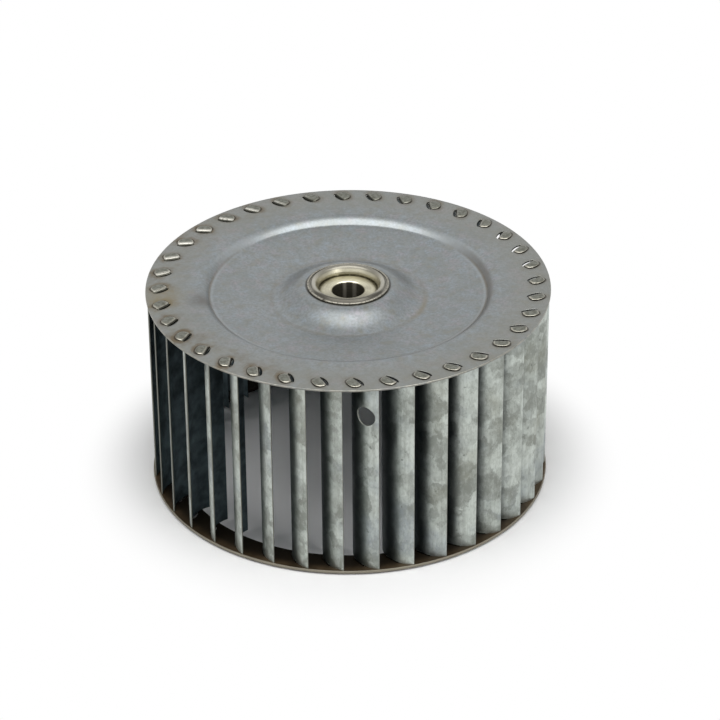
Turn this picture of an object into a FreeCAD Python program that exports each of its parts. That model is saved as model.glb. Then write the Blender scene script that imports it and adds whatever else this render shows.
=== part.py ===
import FreeCAD, Part
import math
import os

# A centrifugal fan wheel: forward curved blades stand between a dished back disc, which a
# turned hub carries, and a flat inlet ring. Each blade has a tongue at both ends, passed
# through a slot and folded flat. All sizes are in millimetres. +Z runs along the bore from
# the inlet ring to the back disc, and z = 0 is the plane under the folded lower tongues,
# on which the wheel stands.

# Back disc, pressed from sheet. The depths are below the top of its flat rim, and the land
# that carries the hub, in the middle of the dome, is level with that rim.
disc_diameter = 160.0
disc_thickness = 0.8
rim_land = 7.0
step_width = 2.8
step_depth = 3.1
dish_depth = 5.6
dome_width = 12.4
hub_seat_margin = 2.2

# Blades, rolled from sheet to an arc in a row of narrow flats
blade_count = 36
blade_thickness = 0.6
blade_arc_radius = 11.6
blade_arc_angle = 93.5
blade_flats = 7
blade_outlet_angle = 74.0
blade_tip_inset = 0.65
first_blade_azimuth = -91.9
height_over_plates = 83.1

# Tongues at both ends of each blade, and their slots
tongue_width = 6.4
tongue_from_tip = 9.5
tongue_reach = 4.7
tongue_corner = 1.7
slot_clearance = 0.1
slot_gap = 0.75

# Inlet ring
ring_thickness = 1.2
ring_inner_margin = 1.5

# Hub, turned from bar. Its spigot passes the disc and is rolled out over it.
bore_diameter = 12.7
bore_chamfer = 0.43
barrel_diameter = 32.0
barrel_length = 24.0
spigot_diameter = 26.6
spigot_clearance = 0.1
spigot_wall = 1.2
core_depth = 2.2
lip_overhang = 3.0
lip_edge_height = 0.7
lip_crest_height = 1.4
lip_crest_inset = 2.2

# Set screw, and the hole in one blade that a key reaches it through
screw_diameter = 6.0
screw_length = 8.0
screw_clearance = 0.05
screw_tip_gap = 0.4
screw_depth = 13.5
socket_across_flats = 3.0
socket_depth = 3.5
access_blade_number = 2
access_hole_diameter = 7.8
access_hole_from_tip = 5.5

# Levels, from the ground up
ring_bottom = blade_thickness
ring_top = ring_bottom + ring_thickness
disc_top = ring_bottom + height_over_plates
disc_bottom = disc_top - disc_thickness
tongue_top = disc_top + blade_thickness
barrel_bottom = disc_bottom - barrel_length
core_top = disc_top - core_depth
screw_height = disc_top - screw_depth

# Radii, from the rim inwards
disc_radius = disc_diameter / 2
tip_radius = disc_radius - blade_tip_inset
spigot_radius = spigot_diameter / 2
barrel_radius = barrel_diameter / 2
bore_radius = bore_diameter / 2

# The flats touch the blade's arc at their middles, so their corners lie outside it by this
# ratio.
flat_angle = math.radians(blade_arc_angle) / blade_flats
corner_ratio = 1 / math.cos(flat_angle / 2)

# The centre of a blade's arc and the angle of its tip on that arc. The blade is drawn with
# its tip on +X, where +X is radial and the blade hangs back towards -Y.
outlet = math.radians(blade_outlet_angle)
arc_centre = FreeCAD.Vector(
    tip_radius - blade_arc_radius * corner_ratio * math.sin(outlet),
    blade_arc_radius * corner_ratio * math.cos(outlet),
    0,
)
tip_angle = outlet - math.pi / 2
blade_width = blade_arc_radius * math.radians(blade_arc_angle)

# The slots' ends and their edge on the side of the arc's centre, from the fold's middle
slot_half_length = tongue_width / 2 + slot_clearance
slot_inner = -blade_thickness / 2 - slot_gap

UP = FreeCAD.Vector(0, 0, 1)


def at_height(point, z):
    return FreeCAD.Vector(point.x, point.y, z)


def on_arc(from_tip, offset=0.0):
    """The point of the blade's section at a length along its arc from the tip, moved
    outwards from the sheet's middle line by an offset."""
    angle = tip_angle - from_tip / blade_arc_radius
    radius = blade_arc_radius + offset
    return arc_centre + FreeCAD.Vector(math.cos(angle), math.sin(angle), 0) * radius


def flat_corner(number, offset):
    """The end of a flat of the blade's section, counted from the tip, on the face that
    lies at an offset from the sheet's middle."""
    from_tip = blade_width * number / blade_flats
    return arc_centre + (on_arc(from_tip, offset) - arc_centre) * corner_ratio


def prism(wire, bottom, top):
    """A straight prism between two levels over a closed wire."""
    face = Part.Face(wire)
    face.translate(UP * bottom)
    return face.extrude(UP * (top - bottom))


def revolved(corners):
    """A solid turned about the wheel's axis from the corners (radius, height) of its half
    section."""
    outline = [FreeCAD.Vector(radius, 0, height) for radius, height in corners]
    wire = Part.makePolygon(outline + outline[:1])
    return Part.Face(wire).revolve(FreeCAD.Vector(0, 0, 0), UP, 360)


def turned_by(shape, degrees):
    turned = shape.copy()
    turned.rotate(FreeCAD.Vector(0, 0, 0), UP, degrees)
    return turned


def blade_azimuth(number):
    return first_blade_azimuth + (number - 1) * 360 / blade_count


# The tongue's fold is straight and touches the sheet's arc at its middle. The tongue is
# laid over away from the arc's centre.
fold_middle = on_arc(tongue_from_tip)
fold_out = (fold_middle - arc_centre).normalize()
fold_along = UP.cross(fold_out)


def from_fold(along, out):
    return fold_middle + fold_along * along + fold_out * out


def fold_outline(places):
    """A closed wire through places given along and out from the middle of the fold."""
    points = [from_fold(along, out) for along, out in places]
    return Part.makePolygon(points + points[:1])


def fold_rectangle(half_length, inner, outer):
    return fold_outline(
        [(-half_length, inner), (half_length, inner), (half_length, outer), (-half_length, outer)]
    )


def tongue(root, tip):
    """A tongue that stands from the blade's end at the level root, passes its plate, and
    is laid flat on it with its far face at the level tip."""
    half = tongue_width / 2
    inner = -blade_thickness / 2
    far = inner + tongue_reach
    neck = fold_rectangle(half, inner, -inner)
    flap = fold_outline(
        [
            (-half, inner),
            (half, inner),
            (half, far - tongue_corner),
            (half - tongue_corner, far),
            (tongue_corner - half, far),
            (-half, far - tongue_corner),
        ]
    )
    laid = tip - math.copysign(blade_thickness, tip - root)
    neck_levels = sorted((root, laid))
    flap_levels = sorted((laid, tip))
    return prism(neck, *neck_levels).fuse(prism(flap, *flap_levels))


def blade():
    half = blade_thickness / 2
    convex = [flat_corner(number, half) for number in range(blade_flats + 1)]
    concave = [flat_corner(number, -half) for number in range(blade_flats + 1)]
    section = Part.makePolygon(convex + concave[::-1] + convex[:1])
    body = prism(section, ring_top, disc_bottom)
    return body.fuse([tongue(disc_bottom, tongue_top), tongue(ring_top, 0)]).removeSplitter()


def slots(bottom, top):
    """The slots of all the tongues: straight, and wider than the sheet on the side that
    the tongues are bent away from."""
    outer = blade_thickness / 2 + slot_clearance
    slot = prism(fold_rectangle(slot_half_length, slot_inner, outer), bottom, top)
    return [turned_by(slot, blade_azimuth(n + 1)) for n in range(blade_count)]


def back_disc():
    step_radius = on_arc(blade_width).Length - rim_land
    foot_radius = step_radius - step_width
    seat_radius = barrel_radius + hub_seat_margin
    dome_radius = seat_radius + dome_width
    hole_radius = spigot_radius + spigot_clearance
    upper = [
        (disc_radius, disc_top),
        (step_radius, disc_top),
        (foot_radius, disc_top - step_depth),
        (dome_radius, disc_top - dish_depth),
        (seat_radius, disc_top),
        (hole_radius, disc_top),
    ]
    lower = [(r, z - disc_thickness) for r, z in reversed(upper)]
    disc = revolved(upper + lower)
    return disc.cut(slots(disc_bottom - 1, disc_top + 1))


def inlet_ring():
    inner_radius = from_fold(-slot_half_length, slot_inner).Length - ring_inner_margin
    corners = [
        (inner_radius, ring_bottom),
        (disc_radius, ring_bottom),
        (disc_radius, ring_top),
        (inner_radius, ring_top),
    ]
    ring = revolved(corners)
    return ring.cut(slots(ring_bottom - 1, ring_top + 1))


def access_hole():
    """A hole punched square to the sheet of the blade that stands before the set screw."""
    middle = at_height(on_arc(access_hole_from_tip), screw_height)
    out = (middle - at_height(arc_centre, screw_height)).normalize()
    reach = 2 * blade_thickness
    return Part.makeCylinder(access_hole_diameter / 2, 2 * reach, middle - out * reach, out)


def screw_direction():
    """From the wheel's axis to the middle of the access hole, once its blade is in place."""
    middle = Part.Vertex(on_arc(access_hole_from_tip))
    return turned_by(middle, blade_azimuth(access_blade_number)).Point.normalize()


def hub():
    lip_radius = spigot_radius + lip_overhang
    crest_radius = lip_radius - lip_crest_inset
    funnel_radius = spigot_radius - spigot_wall
    corners = [
        (bore_radius, core_top - bore_chamfer),
        (bore_radius, barrel_bottom),
        (barrel_radius, barrel_bottom),
        (barrel_radius, disc_bottom),
        (spigot_radius, disc_bottom),
        (spigot_radius, disc_top),
        (lip_radius, disc_top),
        (lip_radius, disc_top + lip_edge_height),
        (crest_radius, disc_top + lip_crest_height),
        (funnel_radius, core_top),
        (bore_radius + bore_chamfer, core_top),
    ]
    body = revolved(corners)
    axis = screw_direction()
    start = at_height(axis * bore_radius / 2, screw_height)
    tapped = Part.makeCylinder(
        screw_diameter / 2 + screw_clearance, barrel_radius, start, axis
    )
    return body.cut(tapped)


def set_screw():
    axis = screw_direction()
    tip = at_height(axis * (bore_radius + screw_tip_gap), screw_height)
    body = Part.makeCylinder(screw_diameter / 2, screw_length, tip, axis)
    socket_radius = socket_across_flats / math.sqrt(3)
    side = UP.cross(axis)
    floor = tip + axis * (screw_length - socket_depth)
    corners = []
    for i in range(6):
        angle = math.radians(60 * i)
        across = side * math.cos(angle) + UP * math.sin(angle)
        corners.append(floor + across * socket_radius)
    wire = Part.makePolygon(corners + corners[:1])
    return body.cut(Part.Face(wire).extrude(axis * (socket_depth + 1)))


def build():
    nodes = {
        "back_disc": back_disc(),
        "inlet_ring": inlet_ring(),
        "hub": hub(),
        "set_screw": set_screw(),
    }
    plain_blade = blade()
    pierced_blade = plain_blade.cut(access_hole())
    for number in range(1, blade_count + 1):
        shape = pierced_blade if number == access_blade_number else plain_blade
        nodes["blade_%02d" % number] = turned_by(shape, blade_azimuth(number))
    return nodes


os.makedirs("parts", exist_ok=True)
for name, shape in build().items():
    shape.exportStep("parts/%s.step" % name)
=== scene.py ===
import math

import bmesh
import bpy
import numpy as np
from bpy.props import FloatProperty, FloatVectorProperty, IntProperty, PointerProperty
from mathutils import Matrix, Vector


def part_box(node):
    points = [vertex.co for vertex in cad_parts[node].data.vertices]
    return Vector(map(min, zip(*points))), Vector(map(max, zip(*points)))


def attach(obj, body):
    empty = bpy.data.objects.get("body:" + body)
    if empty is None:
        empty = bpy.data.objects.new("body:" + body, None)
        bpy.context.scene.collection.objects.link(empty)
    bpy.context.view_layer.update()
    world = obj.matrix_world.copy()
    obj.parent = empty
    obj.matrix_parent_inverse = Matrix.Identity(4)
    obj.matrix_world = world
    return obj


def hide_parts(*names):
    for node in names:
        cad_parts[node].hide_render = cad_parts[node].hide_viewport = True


bl_info = {
    "name": "Fan impeller",
    "version": (1, 0, 0),
    "blender": (4, 5, 0),
    "location": "View3D > Sidebar > Fan impeller",
    "description": "Dresses the packed fan wheel: disc, bladed cage, inlet ring, hub and set screw",
    "category": "Object",
}

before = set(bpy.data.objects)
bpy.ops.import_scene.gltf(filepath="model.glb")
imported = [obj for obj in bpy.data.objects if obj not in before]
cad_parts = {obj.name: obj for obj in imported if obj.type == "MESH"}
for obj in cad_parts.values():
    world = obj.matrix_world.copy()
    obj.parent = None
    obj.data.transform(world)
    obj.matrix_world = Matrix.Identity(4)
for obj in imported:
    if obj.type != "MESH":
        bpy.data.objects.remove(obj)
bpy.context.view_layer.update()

MM = 0.001
TURN = 2 * math.pi
QUARTER = math.pi / 2
_, DISC_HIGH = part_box("back_disc")
RING_LOW, RING_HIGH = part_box("inlet_ring")
HUB_LOW, HUB_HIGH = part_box("hub")
BLADE_LOW, BLADE_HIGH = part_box("blade_01")
BLADE_COUNT = 36
PIERCED_BLADE = 2


def length(name, millimetres, description):
    """A size of the wheel, given in millimetres and kept in metres."""
    return FloatProperty(
        name=name, description=description, default=millimetres * MM, unit="LENGTH", precision=5
    )


def turn(name, degrees, description):
    """An angle of the wheel, given in degrees and kept in radians."""
    return FloatProperty(
        name=name, description=description, default=math.radians(degrees), subtype="ANGLE"
    )


def colour(name, values, description):
    """A colour of the wheel, given as linear red, green and blue."""
    return FloatVectorProperty(
        name=name, description=description, default=values, subtype="COLOR", size=3, min=0, max=1
    )


class WheelSizes(bpy.types.PropertyGroup):
    """Sizes of the wheel's pieces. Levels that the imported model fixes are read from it."""

    sheet_edge: length("Sheet edge", 0.16, "Rounding of the sheets' cut edges")
    disc_radius: length("Disc radius", DISC_HIGH.y / MM, "Outer radius of disc and ring")
    disc_top: length("Disc top", DISC_HIGH.z / MM, "Height of the disc's rim")
    disc_thickness: length("Disc thickness", 0.8, "Sheet of the back disc")
    step_radius: length("Step radius", 57.71, "Where the rim ends and the step begins")
    step_width: length("Step width", 2.8, "Width of the step to the dish")
    step_depth: length("Step depth", 3.1, "Drop from the rim to the step's foot")
    step_bend: length("Step bend", 6.0, "Bend radius at the step's top")
    foot_bend: length("Foot bend", 2.2, "Bend radius at the step's foot")
    dish_depth: length("Dish depth", 5.6, "Drop from the rim to the dome's foot")
    dome_radius: length("Dome radius", 30.6, "Radius of the dome's foot")
    seat_radius: length("Seat radius", 18.2, "Radius of the flat land under the lip")
    disc_hole: length("Disc hole", 13.4, "Radius of the hole round the hub")
    ring_inner: length("Ring inner radius", 68.91, "Radius of the inlet")
    blade_thickness: length("Blade thickness", 0.6, "Sheet of the blades")
    blade_arc: length("Blade arc", 11.6, "Radius of the blades' arc")
    blade_centre_x: length("Arc centre, out", 68.123, "For a blade with its tip on X")
    blade_centre_y: length("Arc centre, across", 3.219, "For a blade with its tip on X")
    blade_sweep: turn("Blade sweep", 93.5, "Angle of the blades' arc")
    blade_tip_turn: turn("Tip direction", -16, "Direction of the tip from the arc's centre")
    first_azimuth: turn("First blade", -91.9, "Azimuth of the first blade's tip")
    fold_from_tip: length("Fold from tip", 9.5, "The tongue's middle, along the arc")
    tongue_half: length("Tongue half width", 3.2, "Half the width of a tongue")
    tongue_far: length("Tongue reach", 4.4, "Its end, from the fold's middle")
    tongue_bend: length("Tongue bend", 1.25, "Its bend radius, at the sheet's middle")
    tongue_crown: length("Tongue crown", 0.15, "How far its sides are pressed down")
    tongue_edge: length("Tongue edge", 0.75, "Rounding of its pressed edge")
    slot_half: length("Slot half length", 3.4, "Half the length of a slot")
    slot_gap: length("Slot gap", 1.3, "Its reach behind the tongue")
    slot_clear: length("Slot clearance", 0.4, "Its reach on the tongue's side")
    hole_radius: length("Access hole radius", 3.9, "Hole in one blade, for the key")
    hole_from_tip: length("Access hole from tip", 5.5, "Its middle, along the arc")
    screw_height: length("Screw height", 70.2, "Height of the set screw's axis")
    screw_azimuth: turn("Screw azimuth", -85.42, "Direction of the set screw")
    screw_radius: length("Screw radius", 3.0, "Outer radius of its thread")
    screw_tip: length("Screw tip", 6.75, "Its distance from the wheel's axis")
    screw_length: length("Screw length", 8.0, "Length of the set screw")
    socket_flats: length("Socket across flats", 3.0, "Hexagon socket of the set screw")
    socket_depth: length("Socket depth", 3.5, "Depth of the hexagon socket")
    thread_pitch: length("Thread pitch", 1.0, "Pitch of the set screw's thread")
    bore_radius: length("Bore radius", 6.35, "Radius of the shaft's bore")
    bore_chamfer: length("Bore chamfer", 0.43, "Chamfer at the bore's upper end")
    barrel_radius: length("Barrel radius", 16.0, "Radius of the hub below the disc")
    spigot_radius: length("Spigot radius", 13.3, "Radius of the hub inside the disc")
    core_depth: length("Core depth", 3.6, "Drop from the lip's crest to the core")


class WheelColours(bpy.types.PropertyGroup):
    """Colours of the wheel's finishes, as light that the metal sends back."""

    disc_light: colour("Disc, light", (0.246, 0.263, 0.27), "Clear patches of the disc")
    disc_dark: colour("Disc, dark", (0.206, 0.223, 0.223), "Dull patches of the disc")
    disc_warm: colour("Disc, warm", (0.203, 0.2, 0.172), "Brownish patches of the disc")
    disc_blue: colour("Disc, blue", (0.24, 0.272, 0.298), "Bluish patches of the disc")
    disc_pink: colour("Disc, pink", (0.262, 0.247, 0.262), "Pinkish patches of the disc")
    # Painted shade by the step's foot; also a dark smudge
    disc_shade_and_smudge: colour("Disc crease", (0.15, 0.145, 0.135), "Dull line along the creases")
    disc_yellow: colour("Disc, yellow", (0.195, 0.165, 0.1), "Yellow stains on the disc")
    disc_stain: colour("Disc stain", (0.13, 0.105, 0.07), "Brown stain of the rim")
    zinc_light: colour("Zinc, light", (0.53, 0.57, 0.53), "Bright crystals of the blades")
    zinc_dark: colour("Zinc, dark", (0.235, 0.25, 0.225), "Dull crystals of the blades")
    zinc_warm: colour("Zinc, warm", (0.255, 0.255, 0.195), "Brownish tint of the blades")
    zinc_blue: colour("Zinc, blue", (0.33, 0.37, 0.4), "Bluish tint of the blades")
    # Painted green shade on the front blades, further in from the tip
    zinc_shade: colour("Zinc, shade", (0.08, 0.108, 0.092), "Green tarnish further in")
    # Dirt and painted shade of the hollow sides and the blades' inner ends
    grime_and_shade: colour("Grime", (0.031, 0.042, 0.046), "Black dirt on the hollow sides")
    cut_edge: colour("Cut edge", (0.2, 0.205, 0.18), "Dull edge of the blades' sheet")
    tongue_brown: colour("Tongue, brown", (0.1, 0.1, 0.08), "Stained parts of the tongues")
    tongue_worn: colour("Tongue, worn", (0.175, 0.18, 0.155), "Clear parts of the tongues")
    # Worn edges of the tongues and the disc's rim, lighter also as a painted highlight
    worn_edge_and_highlight: colour("Tongue, rubbed", (0.42, 0.4, 0.34), "Pressed edges of the tongues")
    # A painted highlight on some tongues
    tongue_highlight: colour("Tongue, bright", (0.6, 0.585, 0.53), "Bare bars on some tongues")
    ring_stain: colour("Ring stain", (0.036, 0.023, 0.01), "Dark stain on the ring")
    ring_brown: colour("Ring, brown", (0.08, 0.053, 0.028), "Lighter stain on the ring")
    ring_clear: colour("Ring, clear", (0.23, 0.21, 0.165), "Clear steel at the ring's edge")
    hub_light: colour("Hub, light", (0.45, 0.43, 0.33), "Turned and plated hub")
    hub_pale: colour("Hub, pale", (0.375, 0.365, 0.32), "Less yellow plating of the lip")
    hub_dark: colour("Hub, dark", (0.29, 0.265, 0.205), "Dull parts of the plating")
    hub_grey: colour("Hub, grey", (0.3, 0.285, 0.24), "Rough bead of the hub's lip")
    # Dirt and painted shade on the roll; toned, also the bore's lighter streaks and the bead's
    # nicks
    hub_brown: colour("Hub, brown", (0.068, 0.064, 0.054), "Dirt on the hub's roll")
    hub_olive: colour("Hub, olive", (0.06, 0.05, 0.018), "Dirt in the hub's groove")
    # Painted shade with dirt in the bore and at the seam, and a dark nick
    hub_dirt_and_shade: colour("Hub, black", (0.021, 0.015, 0.011), "Dirt in the bore and seam")
    screw_black: colour("Screw", (0.045, 0.044, 0.042), "Blackened steel of the set screw")
    floor: colour("Floor", (0.88, 0.88, 0.88), "Floor that the wheel stands on")


class WheelStudio(bpy.types.PropertyGroup):
    """The photograph's view and the studio's light."""

    distance: FloatProperty(
        name="Distance", description="Camera's distance", default=1.22768, unit="LENGTH"
    )
    elevation: turn("Elevation", 30.99278, "Camera's angle above the floor")
    roll: turn("Roll", -0.544819, "Camera's turn about its own axis")
    aim_height: length("Aim height", 48.79, "Where the camera aims on the wheel's axis")
    focal_length: FloatProperty(
        name="Focal length", description="Lens, in millimetres", default=153.23, min=1
    )
    shift_x: FloatProperty(name="Shift X", description="Sideways shift", default=0.015536)
    shift_y: FloatProperty(name="Shift Y", description="Upward shift", default=0.000554)
    studio_level: FloatProperty(
        name="Studio level", description="Light from all round on dull surfaces", default=0.12
    )
    seed: IntProperty(name="Seed", description="Start of the small differences", default=7)


# Surfaces


def patch(points, *windows):
    """A grid of points as a surface of quads. Each window of it (rows from, to, columns
    from, to) is left open."""
    rows, columns = points.shape[:2]
    row, column = np.mgrid[: rows - 1, : columns - 1].reshape(2, -1)
    first = row * columns + column
    faces = np.stack([first, first + 1, first + columns + 1, first + columns], axis=-1)
    kept = np.ones(len(faces), bool)
    for low, high, left, right in windows:
        kept &= (row < low) | (row >= high) | (column < left) | (column >= right)
    return points.reshape(-1, 3), faces[kept]


def thicken(points, normals, half, *windows):
    """Both faces of a sheet: its middle surface moved along the normals by plus and minus
    half its thickness, which falls to nothing at the edges and so closes them."""
    shift = normals * half[..., None]
    return [patch(points + shift, *windows), patch(points - shift, *windows)]


def end_strips(points, normals, half, rows):
    """Strips across a sheet's thickness that close it along rows of its grid."""
    shift = normals * half[..., None]
    return [patch(np.stack([points[row] + shift[row], points[row] - shift[row]])) for row in rows]


def paired(first, second):
    """Points of a plane from their first and their second numbers."""
    return np.stack(np.broadcast_arrays(first, second), axis=-1)


def polar(radius, angle, height):
    """Points x = r cos a, y = r sin a, z = h for arrays of radius, angle and height."""
    return np.stack(
        np.broadcast_arrays(radius * np.cos(angle), radius * np.sin(angle), height), axis=-1
    )


def turned(points, angle):
    """Points turned about the wheel's axis: x' = x cos a - y sin a, y' = x sin a + y cos a."""
    c, s = math.cos(angle), math.sin(angle)
    return points @ np.array([[c, s, 0], [-s, c, 0], [0, 0, 1]])


def edge_share(distance, edge):
    """The share of a sheet's thickness at a distance from its cut edge: a quarter ellipse
    over the edge's rounding, and one beyond it."""
    inside = np.clip(distance / edge, 0, 1)
    return np.sqrt(1 - (1 - inside) ** 2)


EDGE_STEPS = 3


def eased(start, end, edge, steps):
    """Places from start to end: closer together by a cosine over the rounding at both ends,
    and even between."""
    ramp = edge * (1 - np.cos(np.linspace(0, QUARTER, EDGE_STEPS + 1)))[:-1]
    inner = np.linspace(start + edge, end - edge, steps + 1)
    return np.concatenate([start + ramp, inner, end - ramp[::-1]])


def filleted(corners, radii, steps):
    """A profile through corners (radius, height) in which an arc that touches both runs
    stands for each inner corner: centre + v1 sin((1 - k) w) / sin w + v2 sin(k w) / sin w,
    where v1 and v2 point from the centre to the two touching places, w is the angle between
    them and k goes from 0 to 1."""
    corners = np.asarray(corners, float)
    points = [corners[:1]]
    k = np.linspace(0, 1, steps + 1)[:, None]
    for before, corner, after, radius in zip(corners, corners[1:], corners[2:], radii):
        back, ahead = before - corner, after - corner
        back, ahead = back / np.linalg.norm(back), ahead / np.linalg.norm(ahead)
        half = math.acos(np.clip(back @ ahead, -1, 1)) / 2
        middle = back + ahead
        centre = corner + middle / np.linalg.norm(middle) * radius / math.sin(half)
        v1 = corner + back * radius / math.tan(half) - centre
        v2 = corner + ahead * radius / math.tan(half) - centre
        sweep = math.pi - 2 * half
        arc = v1 * np.sin((1 - k) * sweep) + v2 * np.sin(k * sweep)
        points.append(centre + arc / math.sin(sweep))
    points.append(corners[-1:])
    return np.concatenate(points)


def resampled(profile, spacing):
    """A profile with points added on its long runs, so that none is longer than a spacing."""
    pieces = [profile[:1]]
    for start, end in zip(profile, profile[1:]):
        steps = max(1, int(np.linalg.norm(end - start) / spacing))
        pieces.append(start + (end - start) * np.linspace(0, 1, steps + 1)[1:, None])
    return np.concatenate(pieces)


def marked(patches, values):
    """Patches with a value for each of their points, which the material reads as "along"."""
    return [(*made[:2], np.ravel(marks)) for made, marks in zip(patches, values)]


MERGE_DISTANCE = 0.002 * MM
SMOOTH_ANGLE = math.radians(38)


def piece(name, patches, material):
    """A closed mesh from patches, whose shared edges are merged, with its faces outwards. It
    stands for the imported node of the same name."""
    counts = np.cumsum([0] + [len(made[0]) for made in patches])
    points = np.concatenate([made[0] for made in patches])
    faces = np.concatenate([made[1] + start for made, start in zip(patches, counts)])
    marks = np.concatenate([made[2] if made[2:] else np.zeros(len(made[0])) for made in patches])
    mesh = bpy.data.meshes.new(name)
    mesh.from_pydata(points.tolist(), [], faces.tolist())
    along = mesh.attributes.new("along", "FLOAT", "CORNER")
    along.data.foreach_set("value", marks[faces].ravel())
    work = bmesh.new()
    work.from_mesh(mesh)
    bmesh.ops.remove_doubles(work, verts=work.verts, dist=MERGE_DISTANCE)
    bmesh.ops.dissolve_degenerate(work, edges=work.edges, dist=MERGE_DISTANCE / 2)
    bmesh.ops.recalc_face_normals(work, faces=work.faces)
    work.to_mesh(mesh)
    work.free()
    mesh.polygons.foreach_set("use_smooth", np.ones(len(mesh.polygons), bool))
    mesh.set_sharp_from_angle(angle=SMOOTH_ANGLE)
    mesh.materials.append(material)
    made = bpy.data.objects.new("wheel_" + name, mesh)
    bpy.context.scene.collection.objects.link(made)
    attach(made, "root")
    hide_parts(name)


# The wheel's layout

# Each blade's share of a plate is a sector between two radii, with its own steps
SECTOR_INNER = 69.75 * MM
SECTOR_OUTER = 78.6 * MM
SECTOR_SIDE_STEPS = 8
SECTOR_ARC_STEPS = 10


def blade_azimuth(sizes, number):
    """The direction of a blade's tip: the first one's, and an even share of a turn on."""
    return sizes.first_azimuth + (number - 1) * TURN / BLADE_COUNT


def rolled(sizes, from_tip, height):
    """The blade's middle surface, x = cx + R cos w, y = cy + R sin w, z = h with the angle
    w = tip direction - length from tip / R. Gives the points and the outward normals."""
    from_tip, height = np.broadcast_arrays(from_tip, height)
    angle = sizes.blade_tip_turn - from_tip / sizes.blade_arc
    centre = np.array([sizes.blade_centre_x, sizes.blade_centre_y, 0])
    return polar(sizes.blade_arc, angle, height) + centre, polar(1.0, angle, 0.0)


def fold_axes(sizes):
    """The middle of the tongue's fold, the direction along it, the direction in which the
    tongue is laid, all level, and the middle's azimuth."""
    middle, out = rolled(sizes, sizes.fold_from_tip, 0.0)
    return middle, np.array([-out[1], out[0], 0]), out, math.atan2(middle[1], middle[0])


def around(steps, *values):
    """Values round a border of four sides, which have the first, second, first and second
    number of steps: even between the value of each corner and the next."""
    places = np.cumsum([0, *steps, *steps])
    return np.interp(np.arange(places[-1] + 1), places, values)


def rings(border, hole, edge):
    """Rings of points from a closed border to a hole's edge: at shares of the way, and then
    closer together by a cosine over the edge's rounding. Gives them and their distances
    from the hole's edge."""
    span = np.linalg.norm(border - hole, axis=-1)[:, None]
    inset = edge * (1 - np.cos(np.linspace(QUARTER, 0, EDGE_STEPS + 1)))
    shares = 1 - np.array([0.0, 0.3, 0.6, 0.85])
    distances = np.hstack([span * shares, inset + 0 * span])
    toward = (border - hole) / span
    return hole[:, None] + toward[:, None] * distances[..., None], distances


def slotted_sectors(sizes, height, half):
    """The part of a plate that holds the slots: in each blade's sector, rings lead from the
    sector's border to the slot. The slot's edge is along = a cos t, out = -b sin t on the
    open side and out = c |sin t| ** 0.4 on the tongue's side."""
    middle, along, out, azimuth = fold_axes(sizes)
    wide = TURN / BLADE_COUNT / 2
    steps = SECTOR_SIDE_STEPS, SECTOR_ARC_STEPS
    radii = around(steps, SECTOR_OUTER, SECTOR_INNER, SECTOR_INNER, SECTOR_OUTER, SECTOR_OUTER)
    border = polar(radii, azimuth + around(steps, wide, wide, -wide, -wide, wide), height)
    t = np.linspace(0, TURN, len(border))
    open_side = -sizes.slot_gap * np.abs(np.sin(t))
    tongue_side = sizes.slot_clear * np.abs(np.sin(t)) ** 0.4
    reach = np.where(t < math.pi, open_side, tongue_side)
    slot = middle + sizes.slot_half * np.cos(t)[:, None] * along + reach[:, None] * out
    slot[:, 2] = height
    points, distances = rings(border, slot, sizes.sheet_edge)
    halves = half * edge_share(distances, sizes.sheet_edge)
    up = np.broadcast_to([0.0, 0.0, 1.0], points.shape)
    patches = []
    for number in range(1, BLADE_COUNT + 1):
        patches += thicken(turned(points, blade_azimuth(sizes, number)), up, halves)
    return patches


def spun_sheet(sizes, profile, halves):
    """A sheet turned from the profile of its middle: each point keeps its radius and height
    and goes round the axis, and so does its normal, the slope (dr, dz) turned a quarter to
    (-dz, dr). The steps of the turn meet the sectors' borders."""
    slope = np.gradient(profile, axis=0)
    normals = paired(-slope[:, 1], slope[:, 0])
    normals = normals / np.linalg.norm(normals, axis=-1, keepdims=True)
    *_, azimuth = fold_axes(sizes)
    start = sizes.first_azimuth + azimuth - TURN / BLADE_COUNT / 2
    angles = start + np.linspace(0, TURN, BLADE_COUNT * SECTOR_ARC_STEPS + 1)[:, None]
    points = polar(profile[:, 0], angles, profile[:, 1])
    directions = polar(normals[:, 0], angles, normals[:, 1])
    return thicken(points, directions, np.broadcast_to(halves, points.shape[:2]))


def outer_margin(sizes, height, half):
    """The plate's margin outside the slots, with its rounded outer edge."""
    edge = sizes.sheet_edge
    run = eased(SECTOR_OUTER - edge, sizes.disc_radius, edge, 1)[EDGE_STEPS:]
    halves = half * edge_share(sizes.disc_radius - run, edge)
    return spun_sheet(sizes, paired(run, height), halves)


# The pieces' surfaces

DOME_STEPS = 16
BEND_STEPS = 10
LONGEST_STEP = 2.5 * MM


def disc_patches(sizes):
    """The back disc's sheet: its middle runs from the hub's hole over the flat land, the
    dome, the shallow cone of the dish, the step and the flat rim out to the slots. The dome
    falls by its depth times 2.5 t ** 1.5 - 1.5 t ** 2.5 at the share t of its width."""
    half, edge = sizes.disc_thickness / 2, sizes.sheet_edge
    top = sizes.disc_top - half
    land = eased(sizes.disc_hole, sizes.seat_radius, edge, 2)[:-EDGE_STEPS]
    t = np.linspace(0, 1, DOME_STEPS + 1)
    dome = paired(
        sizes.seat_radius + (sizes.dome_radius - sizes.seat_radius) * t,
        top - sizes.dish_depth * (2.5 * t**1.5 - 1.5 * t**2.5),
    )
    corners = [
        (sizes.dome_radius, top - sizes.dish_depth),
        (sizes.step_radius - sizes.step_width, top - sizes.step_depth),
        (sizes.step_radius, top),
        (SECTOR_INNER, top),
    ]
    outer = filleted(corners, [sizes.foot_bend, sizes.step_bend], BEND_STEPS)
    outer = resampled(outer, LONGEST_STEP)
    profile = np.concatenate([paired(land, top), dome, outer[1:]])
    dish = spun_sheet(sizes, profile, half * edge_share(profile[:, 0] - sizes.disc_hole, edge))
    return dish + slotted_sectors(sizes, top, half) + outer_margin(sizes, top, half)


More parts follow.
